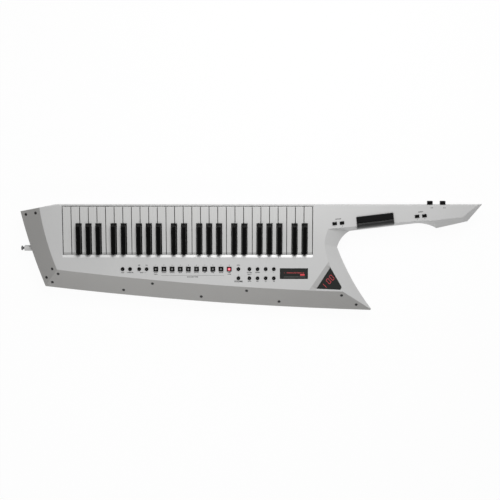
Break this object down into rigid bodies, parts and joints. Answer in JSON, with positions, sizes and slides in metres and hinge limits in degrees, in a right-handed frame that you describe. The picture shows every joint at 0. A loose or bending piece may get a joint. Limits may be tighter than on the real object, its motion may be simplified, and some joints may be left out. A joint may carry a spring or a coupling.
{
  "type": "keytar",
  "caption": "Shoulder-worn keyboard with piano keys, panel buttons, number display and a neck with ribbon and pressure bar.",
  "frame": {"origin": "centre of the whole object's plan box, on the surface that the rubber feet stand on", "axes": "+X along the neck away from the keyboard, +Y towards the player's straight edge, +Z out of the playing panel"},
  "size_m": [1.262, 0.304, 0.078],
  "materials": {
    "silver_plastic": "satin silver painted plastic",
    "blade_plastic": "satin darker silver painted plastic",
    "back_plastic": "fine textured grey plastic",
    "screw_steel": "black oxide steel",
    "foot_rubber": "matte rubber",
    "battery_can": "plain cells in a plastic tray",
    "black_plastic": "satin black plastic",
    "pin_steel": "dark chrome",
    "chassis_steel": "black painted sheet",
    "circuit_board": "green solder mask",
    "dark_window": "smoked acrylic",
    "white_key_plastic": "smooth white plastic",
    "black_key_plastic": "satin black plastic",
    "button_rubber": "satin black plastic",
    "black_gloss": "gloss black plastic"
  },
  "bodies": {
    "case": {"top_case": "silver_plastic", "left_edge_blade": "blade_plastic", "long_edge_blade": "blade_plastic", "edge_blade_screws": "screw_steel", "bottom_case": "back_plastic", "back_screws": "screw_steel", "rubber_feet": "foot_rubber", "battery_door": "back_plastic", "battery_pack": "battery_can", "jack_panel": "black_plastic", "strap_pins": "pin_steel", "key_chassis": "chassis_steel", "key_contact_board": "circuit_board", "main_board": "circuit_board", "switch_boards": "circuit_board", "display_modules": "black_plastic", "screen_window": "dark_window", "number_window": "dark_window", "ribbon_strip": "black_plastic"},
    "white_key_01": {"white_key_01": "white_key_plastic"},
    "white_key_02": {"white_key_02": "white_key_plastic"},
    "white_key_03": {"white_key_03": "white_key_plastic"},
    "white_key_04": {"white_key_04": "white_key_plastic"},
    "white_key_05": {"white_key_05": "white_key_plastic"},
    "white_key_06": {"white_key_06": "white_key_plastic"},
    "white_key_07": {"white_key_07": "white_key_plastic"},
    "white_key_08": {"white_key_08": "white_key_plastic"},
    "white_key_09": {"white_key_09": "white_key_plastic"},
    "white_key_10": {"white_key_10": "white_key_plastic"},
    "white_key_11": {"white_key_11": "white_key_plastic"},
    "white_key_12": {"white_key_12": "white_key_plastic"},
    "white_key_13": {"white_key_13": "white_key_plastic"},
    "white_key_14": {"white_key_14": "white_key_plastic"},
    "white_key_15": {"white_key_15": "white_key_plastic"},
    "white_key_16": {"white_key_16": "white_key_plastic"},
    "white_key_17": {"white_key_17": "white_key_plastic"},
    "white_key_18": {"white_key_18": "white_key_plastic"},
    "white_key_19": {"white_key_19": "white_key_plastic"},
    "white_key_20": {"white_key_20": "white_key_plastic"},
    "white_key_21": {"white_key_21": "white_key_plastic"},
    "white_key_22": {"white_key_22": "white_key_plastic"},
    "white_key_23": {"white_key_23": "white_key_plastic"},
    "white_key_24": {"white_key_24": "white_key_plastic"},
    "white_key_25": {"white_key_25": "white_key_plastic"},
    "white_key_26": {"white_key_26": "white_key_plastic"},
    "white_key_27": {"white_key_27": "white_key_plastic"},
    "white_key_28": {"white_key_28": "white_key_plastic"},
    "white_key_29": {"white_key_29": "white_key_plastic"},
    "black_keys_1": {"black_keys_1": "black_key_plastic"},
    "black_keys_2": {"black_keys_2": "black_key_plastic"},
    "black_keys_3": {"black_keys_3": "black_key_plastic"},
    "black_keys_4": {"black_keys_4": "black_key_plastic"},
    "round_buttons": {"round_buttons": "button_rubber"},
    "square_buttons": {"square_buttons": "button_rubber"},
    "middle_buttons": {"middle_buttons": "button_rubber"},
    "menu_buttons": {"menu_buttons": "button_rubber"},
    "octave_buttons": {"octave_buttons": "button_rubber"},
    "neck_end_buttons": {"neck_end_buttons": "button_rubber"},
    "edge_buttons": {"edge_buttons": "black_plastic"},
    "pressure_bar": {"pressure_bar": "black_gloss"}
  },
  "joints": [
    {"name": "white_key_01_press", "type": "hinge", "parent": "case", "child": "white_key_01", "pos_m": [-0.4989, -0.03, 0.0485], "axis": [-1, 0, 0], "range_deg": [0, 3.08], "stiffness_Nm_per_rad": 0.6, "springref_deg": -4.58},
    {"name": "white_key_02_press", "type": "hinge", "parent": "case", "child": "white_key_02", "pos_m": [-0.4755, -0.03, 0.0485], "axis": [-1, 0, 0], "range_deg": [0, 3.08], "stiffness_Nm_per_rad": 0.6, "springref_deg": -4.58},
    {"name": "white_key_03_press", "type": "hinge", "parent": "case", "child": "white_key_03", "pos_m": [-0.4521, -0.03, 0.0485], "axis": [-1, 0, 0], "range_deg": [0, 3.08], "stiffness_Nm_per_rad": 0.6, "springref_deg": -4.58},
    {"name": "white_key_04_press", "type": "hinge", "parent": "case", "child": "white_key_04", "pos_m": [-0.4287, -0.03, 0.0485], "axis": [-1, 0, 0], "range_deg": [0, 3.08], "stiffness_Nm_per_rad": 0.6, "springref_deg": -4.58},
    {"name": "white_key_05_press", "type": "hinge", "parent": "case", "child": "white_key_05", "pos_m": [-0.4053, -0.03, 0.0485], "axis": [-1, 0, 0], "range_deg": [0, 3.08], "stiffness_Nm_per_rad": 0.6, "springref_deg": -4.58},
    {"name": "white_key_06_press", "type": "hinge", "parent": "case", "child": "white_key_06", "pos_m": [-0.3819, -0.03, 0.0485], "axis": [-1, 0, 0], "range_deg": [0, 3.08], "stiffness_Nm_per_rad": 0.6, "springref_deg": -4.58},
    {"name": "white_key_07_press", "type": "hinge", "parent": "case", "child": "white_key_07", "pos_m": [-0.3585, -0.03, 0.0485], "axis": [-1, 0, 0], "range_deg": [0, 3.08], "stiffness_Nm_per_rad": 0.6, "springref_deg": -4.58},
    {"name": "white_key_08_press", "type": "hinge", "parent": "case", "child": "white_key_08", "pos_m": [-0.3351, -0.03, 0.0485], "axis": [-1, 0, 0], "range_deg": [0, 3.08], "stiffness_Nm_per_rad": 0.6, "springref_deg": -4.58},
    {"name": "white_key_09_press", "type": "hinge", "parent": "case", "child": "white_key_09", "pos_m": [-0.3117, -0.03, 0.0485], "axis": [-1, 0, 0], "range_deg": [0, 3.08], "stiffness_Nm_per_rad": 0.6, "springref_deg": -4.58},
    {"name": "white_key_10_press", "type": "hinge", "parent": "case", "child": "white_key_10", "pos_m": [-0.2883, -0.03, 0.0485], "axis": [-1, 0, 0], "range_deg": [0, 3.08], "stiffness_Nm_per_rad": 0.6, "springref_deg": -4.58},
    {"name": "white_key_11_press", "type": "hinge", "parent": "case", "child": "white_key_11", "pos_m": [-0.2649, -0.03, 0.0485], "axis": [-1, 0, 0], "range_deg": [0, 3.08], "stiffness_Nm_per_rad": 0.6, "springref_deg": -4.58},
    {"name": "white_key_12_press", "type": "hinge", "parent": "case", "child": "white_key_12", "pos_m": [-0.2415, -0.03, 0.0485], "axis": [-1, 0, 0], "range_deg": [0, 3.08], "stiffness_Nm_per_rad": 0.6, "springref_deg": -4.58},
    {"name": "white_key_13_press", "type": "hinge", "parent": "case", "child": "white_key_13", "pos_m": [-0.2181, -0.03, 0.0485], "axis": [-1, 0, 0], "range_deg": [0, 3.08], "stiffness_Nm_per_rad": 0.6, "springref_deg": -4.58},
    {"name": "white_key_14_press", "type": "hinge", "parent": "case", "child": "white_key_14", "pos_m": [-0.1947, -0.03, 0.0485], "axis": [-1, 0, 0], "range_deg": [0, 3.08], "stiffness_Nm_per_rad": 0.6, "springref_deg": -4.58},
    {"name": "white_key_15_press", "type": "hinge", "parent": "case", "child": "white_key_15", "pos_m": [-0.1713, -0.03, 0.0485], "axis": [-1, 0, 0], "range_deg": [0, 3.08], "stiffness_Nm_per_rad": 0.6, "springref_deg": -4.58},
    {"name": "white_key_16_press", "type": "hinge", "parent": "case", "child": "white_key_16", "pos_m": [-0.1479, -0.03, 0.0485], "axis": [-1, 0, 0], "range_deg": [0, 3.08], "stiffness_Nm_per_rad": 0.6, "springref_deg": -4.58},
    {"name": "white_key_17_press", "type": "hinge", "parent": "case", "child": "white_key_17", "pos_m": [-0.1245, -0.03, 0.0485], "axis": [-1, 0, 0], "range_deg": [0, 3.08], "stiffness_Nm_per_rad": 0.6, "springref_deg": -4.58},
    {"name": "white_key_18_press", "type": "hinge", "parent": "case", "child": "white_key_18", "pos_m": [-0.1011, -0.03, 0.0485], "axis": [-1, 0, 0], "range_deg": [0, 3.08], "stiffness_Nm_per_rad": 0.6, "springref_deg": -4.58},
    {"name": "white_key_19_press", "type": "hinge", "parent": "case", "child": "white_key_19", "pos_m": [-0.0777, -0.03, 0.0485], "axis": [-1, 0, 0], "range_deg": [0, 3.08], "stiffness_Nm_per_rad": 0.6, "springref_deg": -4.58},
    {"name": "white_key_20_press", "type": "hinge", "parent": "case", "child": "white_key_20", "pos_m": [-0.0543, -0.03, 0.0485], "axis": [-1, 0, 0], "range_deg": [0, 3.08], "stiffness_Nm_per_rad": 0.6, "springref_deg": -4.58},
    {"name": "white_key_21_press", "type": "hinge", "parent": "case", "child": "white_key_21", "pos_m": [-0.0309, -0.03, 0.0485], "axis": [-1, 0, 0], "range_deg": [0, 3.08], "stiffness_Nm_per_rad": 0.6, "springref_deg": -4.58},
    {"name": "white_key_22_press", "type": "hinge", "parent": "case", "child": "white_key_22", "pos_m": [-0.0075, -0.03, 0.0485], "axis": [-1, 0, 0], "range_deg": [0, 3.08], "stiffness_Nm_per_rad": 0.6, "springref_deg": -4.58},
    {"name": "white_key_23_press", "type": "hinge", "parent": "case", "child": "white_key_23", "pos_m": [0.0159, -0.03, 0.0485], "axis": [-1, 0, 0], "range_deg": [0, 3.08], "stiffness_Nm_per_rad": 0.6, "springref_deg": -4.58},
    {"name": "white_key_24_press", "type": "hinge", "parent": "case", "child": "white_key_24", "pos_m": [0.0393, -0.03, 0.0485], "axis": [-1, 0, 0], "range_deg": [0, 3.08], "stiffness_Nm_per_rad": 0.6, "springref_deg": -4.58},
    {"name": "white_key_25_press", "type": "hinge", "parent": "case", "child": "white_key_25", "pos_m": [0.0627, -0.03, 0.0485], "axis": [-1, 0, 0], "range_deg": [0, 3.08], "stiffness_Nm_per_rad": 0.6, "springref_deg": -4.58},
    {"name": "white_key_26_press", "type": "hinge", "parent": "case", "child": "white_key_26", "pos_m": [0.0861, -0.03, 0.0485], "axis": [-1, 0, 0], "range_deg": [0, 3.08], "stiffness_Nm_per_rad": 0.6, "springref_deg": -4.58},
    {"name": "white_key_27_press", "type": "hinge", "parent": "case", "child": "white_key_27", "pos_m": [0.1095, -0.03, 0.0485], "axis": [-1, 0, 0], "range_deg": [0, 3.08], "stiffness_Nm_per_rad": 0.6, "springref_deg": -4.58},
    {"name": "white_key_28_press", "type": "hinge", "parent": "case", "child": "white_key_28", "pos_m": [0.1329, -0.03, 0.0485], "axis": [-1, 0, 0], "range_deg": [0, 3.08], "stiffness_Nm_per_rad": 0.6, "springref_deg": -4.58},
    {"name": "white_key_29_press", "type": "hinge", "parent": "case", "child": "white_key_29", "pos_m": [0.1563, -0.03, 0.0485], "axis": [-1, 0, 0], "range_deg": [0, 3.08], "stiffness_Nm_per_rad": 0.6, "springref_deg": -4.58},
    {"name": "black_keys_1_press", "type": "hinge", "parent": "case", "child": "black_keys_1", "pos_m": [-0.417, -0.03, 0.0485], "axis": [-1, 0, 0], "range_deg": [0, 3.56], "stiffness_Nm_per_rad": 2.4, "springref_deg": -4.58},
    {"name": "black_keys_2_press", "type": "hinge", "parent": "case", "child": "black_keys_2", "pos_m": [-0.2532, -0.03, 0.0485], "axis": [-1, 0, 0], "range_deg": [0, 3.56], "stiffness_Nm_per_rad": 2.4, "springref_deg": -4.58},
    {"name": "black_keys_3_press", "type": "hinge", "parent": "case", "child": "black_keys_3", "pos_m": [-0.0894, -0.03, 0.0485], "axis": [-1, 0, 0], "range_deg": [0, 3.56], "stiffness_Nm_per_rad": 2.4, "springref_deg": -4.58},
    {"name": "black_keys_4_press", "type": "hinge", "parent": "case", "child": "black_keys_4", "pos_m": [0.0744, -0.03, 0.0485], "axis": [-1, 0, 0], "range_deg": [0, 3.56], "stiffness_Nm_per_rad": 2.4, "springref_deg": -4.58},
    {"name": "round_buttons_press", "type": "slide", "parent": "case", "child": "round_buttons", "axis": [0, 0, -1], "range_m": [0, 0.0008], "stiffness_N_per_m": 60, "springref_m": -0.01},
    {"name": "square_buttons_press", "type": "slide", "parent": "case", "child": "square_buttons", "axis": [0, 0, -1], "range_m": [0, 0.0008], "stiffness_N_per_m": 60, "springref_m": -0.01},
    {"name": "middle_buttons_press", "type": "slide", "parent": "case", "child": "middle_buttons", "axis": [0, 0, -1], "range_m": [0, 0.0008], "stiffness_N_per_m": 60, "springref_m": -0.01},
    {"name": "menu_buttons_press", "type": "slide", "parent": "case", "child": "menu_buttons", "axis": [0, 0, -1], "range_m": [0, 0.0008], "stiffness_N_per_m": 60, "springref_m": -0.01},
    {"name": "octave_buttons_press", "type": "slide", "parent": "case", "child": "octave_buttons", "axis": [0, 0, -1], "range_m": [0, 0.0008], "stiffness_N_per_m": 60, "springref_m": -0.01},
    {"name": "neck_end_buttons_press", "type": "slide", "parent": "case", "child": "neck_end_buttons", "axis": [0, 0, -1], "range_m": [0, 0.0008], "stiffness_N_per_m": 60, "springref_m": -0.01},
    {"name": "edge_buttons_press", "type": "slide", "parent": "case", "child": "edge_buttons", "axis": [0, -1, 0], "range_m": [0, 0.0012], "stiffness_N_per_m": 60, "springref_m": -0.01},
    {"name": "pressure_bar_press", "type": "hinge", "parent": "case", "child": "pressure_bar", "pos_m": [0.3382, 0.09494, 0.064], "axis": [0.9928, 0.1201, 0], "range_deg": [0, 7], "stiffness_Nm_per_rad": 0.06, "springref_deg": -17.19}
  ]
}
